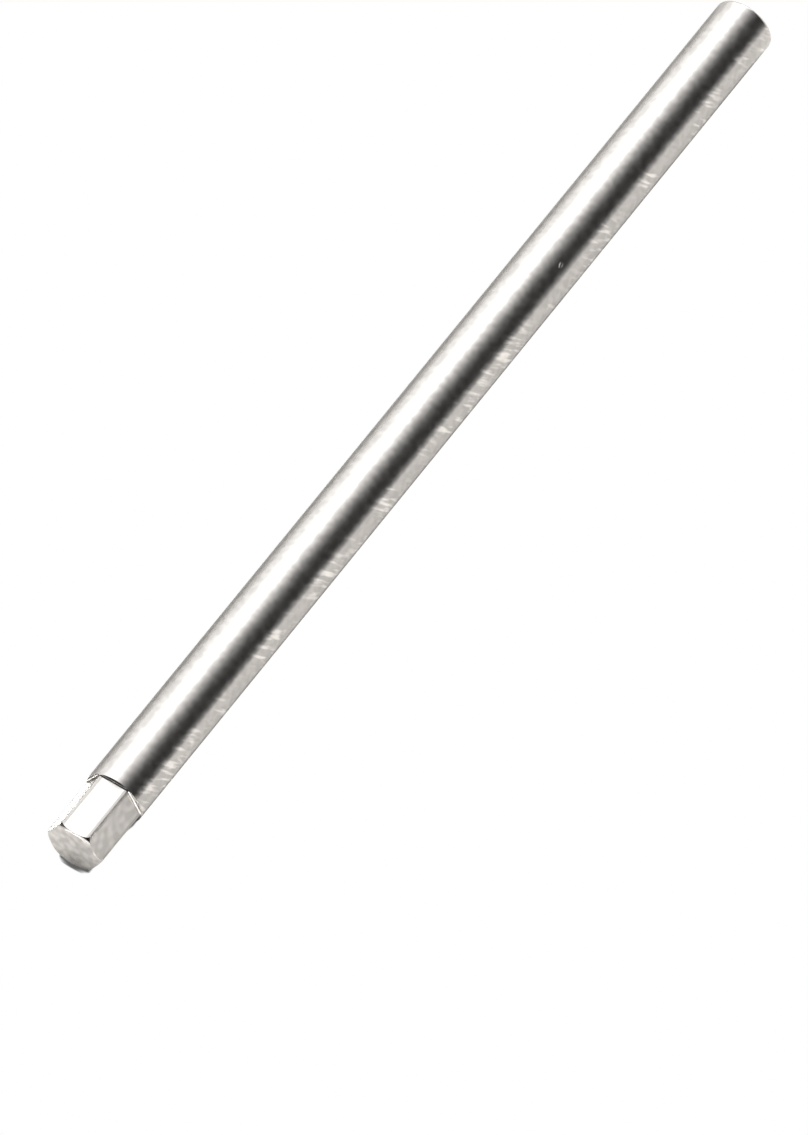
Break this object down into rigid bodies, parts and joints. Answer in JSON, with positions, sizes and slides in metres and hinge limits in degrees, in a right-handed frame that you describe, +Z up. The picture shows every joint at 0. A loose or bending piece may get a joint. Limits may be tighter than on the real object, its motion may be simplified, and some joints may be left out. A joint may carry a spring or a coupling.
{
  "type": "spinal fixation rod",
  "caption": "Straight round surgical fixation rod in polished titanium alloy, with a round-tipped hexagonal drive on one end.",
  "frame": {"origin": "middle of the rod's overall length, on its axis", "axes": "+X along the rod from the hexagonal drive to the plain end; +Z up, square to one flat of the drive"},
  "size_m": [0.065, 0.0034, 0.0036],
  "materials": {
    "titanium_alloy": "ground and polished, satin along the bar, finely machined flats and tip"
  },
  "bodies": {
    "root": {"rod": "titanium_alloy"}
  },
  "joints": []
}
